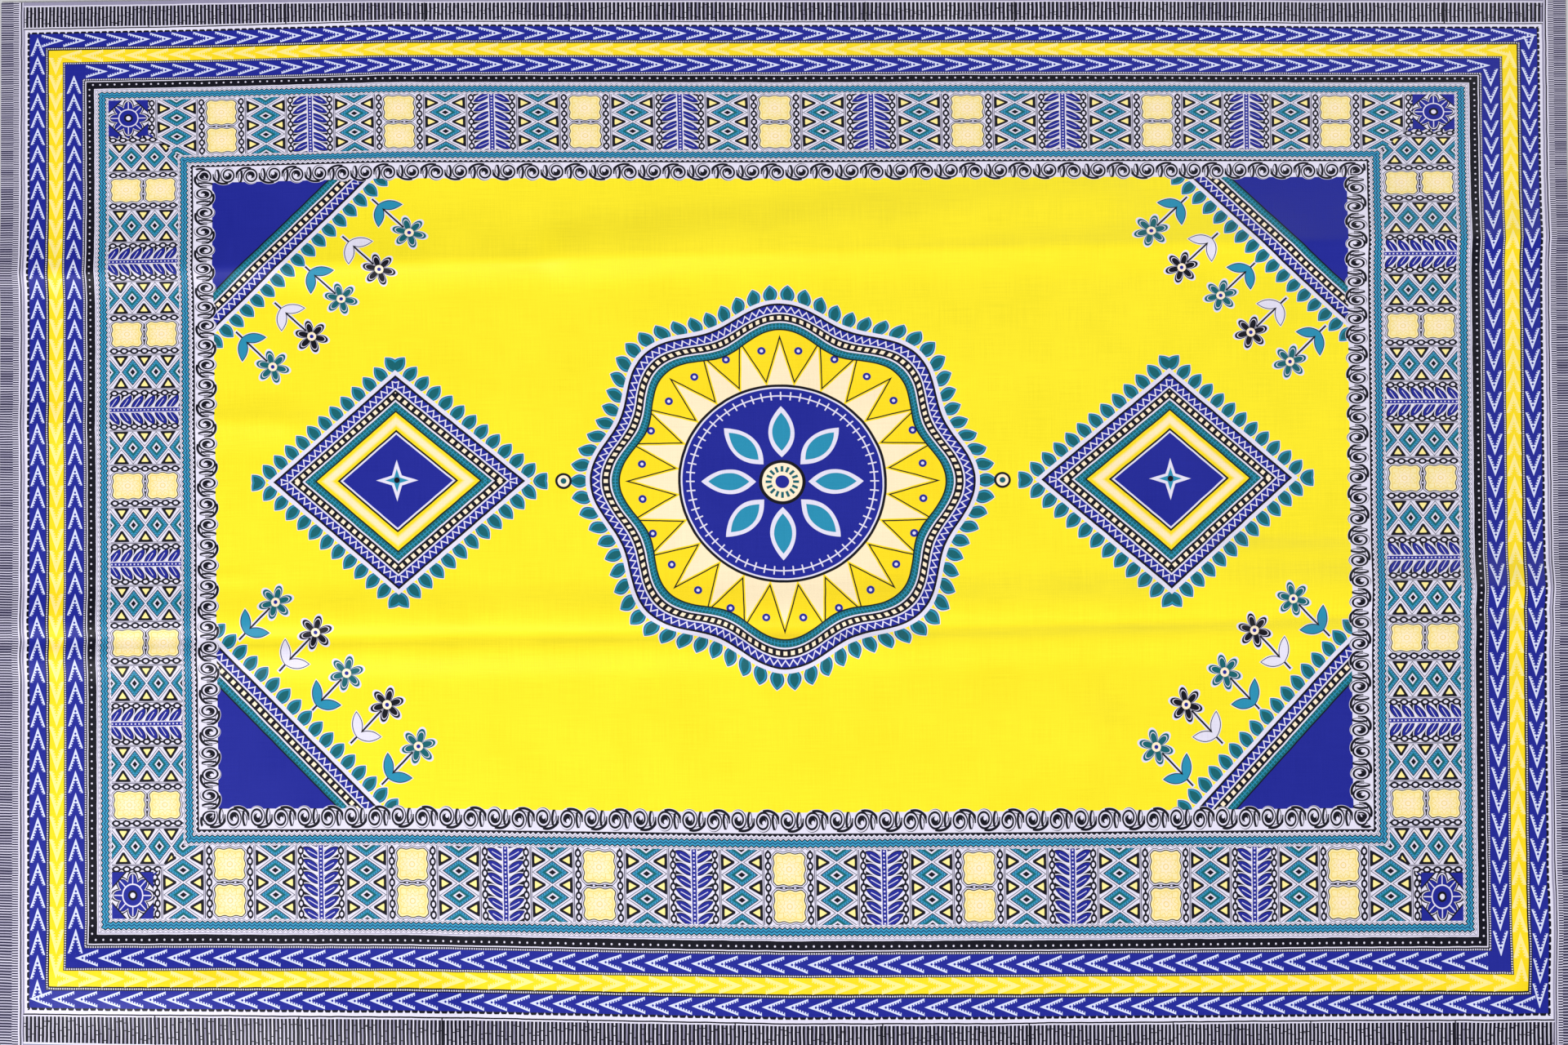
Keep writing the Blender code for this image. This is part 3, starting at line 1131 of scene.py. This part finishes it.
def draw_scroll(place):
    """Each curl is a spiral round a black drop: one turn takes it in by SPIRAL_STEP of its own size.

    A hood sweeps from it over a white panel with a bar and a vein.
    """
    border = use_group(place.tree, BORDER_RUN, Place=place)
    inward, half_run = border["Inward"], border["Half Run"]
    wanted = border["On Side"] * (2 * (SIDE_SCROLL_PITCH - SCROLL_PITCH)) + 2 * SCROLL_PITCH
    cell = (border["Run"] + SCROLL_START) * 2.0 / fitted((half_run - SCROLL_MIDDLE) * 2.0, wanted)
    turned = cell.maths("ROUND").maths("FLOORED_MODULO", 2.0) * 2.0 - 1.0
    across = wrapped(cell, 1.0) * -SCROLL_PITCH
    above = inward - SCROLL_MIDDLE
    up = above * turned
    bend = up * up * 0.03

    wide, high = (across - CURL_AT) / CURL_HALF_WIDTH, (up + 0.6) / CURL_HALF_HEIGHT
    radius = length_of(wide, high)
    reach = radius * CURL_SIZE
    turn = high.maths("ARCTAN2", wide)
    phase = (radius - 0.98) / SPIRAL_STEP + turn / (2 * math.pi) - 0.25
    arm = (abs(wrapped(phase, 1.0)) - 0.3) * (SPIRAL_STEP * CURL_SIZE)
    curl = most(arm, reach - 6.8, 2.9 - reach)
    drop = oval(across + 3.2, up - 0.2, 2.5, 3.0)
    spot = oval(across + 2.3, up + 1.3, 1.2, 1.5)

    over = -2.0 - up
    hood = oval(across - 0.3, up + 1.2, 8.7, 8.3)
    hood_line = most(abs(hood) - 0.95, over, -3.0 - across)
    hood_lining = most(abs(hood + 2.3) - 0.25, over, 1.5 - across)
    bar = most(abs(across - 4.1 - bend) - 0.9, up - 4.8, -6.4 - up)
    vein = most(abs(across - 7.2 + bend) - 0.3, abs(up + 1.6) - 4.6)
    halo = least(oval(across - CURL_AT, up + 0.6, 6.6, 7.6), most(hood - 1.3, over), above - 6.0)
    colour = inked(
        draw_field(place),
        (WHITE, halo),
        (BLACK, least(hood_line, hood_lining, bar, vein)),
        (WHITE, reach - 6.9),
        (BLACK, least(curl, hood_line, drop)),
        (WHITE, spot),
    )
    return printed(colour, BLACK, inside(inward - ZONE_STARTS[2], 0.2))


print_cotton("printed_scroll", draw_scroll)
print_cotton("printed_field", draw_field)

# Between its motifs the field is bare yellow. Faces that no motif reaches have a material without
# any drawing, which looks the same and renders sooner.

MOTIF_REACH = 21.0  # how far the leaves of a trim stand out, and a face of the mesh besides
SPRIG_REACH = 79.0
LINK_REACH = 12.0


def is_bare(across, up):
    """True for the places in the field that no motif reaches."""
    _, side_in, _, corner_in, corner_along = beside_and_corner(across, up)
    bare = frame_depth(across, up) > ZONE_STARTS[-1]
    bare &= np.hypot(across, up) > ROSETTE_RADIUS + ROSETTE_LOBE + MOTIF_REACH
    bare &= np.hypot(across - LINK_AT, up) > LINK_REACH
    bare &= np.maximum(side_in, corner_in) < -MOTIF_REACH
    past_sprigs = np.abs(corner_along) > SPRIGS_HALF + LINK_REACH
    return bare & (past_sprigs | (corner_in < -SPRIG_REACH))


zone_of_face[is_bare(*abs(face_middles.T))] = len(cloth.data.materials)
print_cotton("bare_field", lambda place: YELLOW[:3])

# The whole sheet is one piece, laid flat on the floor, and takes the place of the plain solid.

cloth.data.polygons.foreach_set("material_index", zone_of_face)
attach(cloth, "root")
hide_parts("cloth_panel")

# The floor is a plain pale sheet, not part of the cloth.

HALF_FLOOR = 3.5
FLOOR_DROP = 0.0004  # keeps it just under the cloth
floor_corners = [(x * HALF_FLOOR, y * HALF_FLOOR, 0) for x, y in ((-1, -1), (1, -1), (1, 1), (-1, 1))]
floor_mesh = bpy.data.meshes.new("floor")
floor_mesh.from_pydata(floor_corners, [], [(0, 1, 2, 3)])
floor = add_object("floor", floor_mesh)
floor.location.z = -FLOOR_DROP
floor_paint = bpy.data.materials.new("floor_paint")
floor_paint.use_nodes = True
floor_shader = floor_paint.node_tree.nodes["Principled BSDF"]
floor_shader.inputs["Base Color"].default_value = (0.6, 0.6, 0.61, 1)
floor_shader.inputs["Roughness"].default_value = 0.8
floor_mesh.materials.append(floor_paint)

# Soft studio light: an even glow, a wide lamp at the lower left, whose sheen falls on the near end
# of the cloth, and a fainter one beyond its upper right.

world = bpy.data.worlds.new("studio")
world.use_nodes = True
sky = world.node_tree.nodes["Background"]
sky.inputs["Color"].default_value = (0.97, 0.97, 1.0, 1)
sky.inputs["Strength"].default_value = 0.16
bpy.context.scene.world = world


def soft_lamp(name, place, size, power):
    """A wide lamp that points at the middle of the cloth."""
    lamp = bpy.data.lights.new(name, "AREA")
    lamp.size = size
    lamp.energy = power
    holder = add_object(name, lamp)
    holder.location = place
    holder.rotation_euler = (-holder.location).to_track_quat("-Z", "Y").to_euler()


soft_lamp("near_lamp", (-1.7, -2.3, 2.3), 1.6, 142)
soft_lamp("far_lamp", (1.8, 2.0, 3.0), 2.4, 74)
bpy.context.scene.view_settings.view_transform = "Standard"

# The camera looks straight down on the cloth, and frames it from selvedge to selvedge.

FRAME_WIDTH = 1.1712  # the width of floor that the picture takes in
FRAME_MIDDLE = (-0.0014, 0.0041)
CAMERA_HEIGHT = 2.6
camera_data = bpy.data.cameras.new("camera")
camera_data.sensor_width = 36.0
camera_data.lens = camera_data.sensor_width * CAMERA_HEIGHT / FRAME_WIDTH
camera = add_object("camera", camera_data)
camera.location = (*FRAME_MIDDLE, CAMERA_HEIGHT)
bpy.context.scene.camera = camera
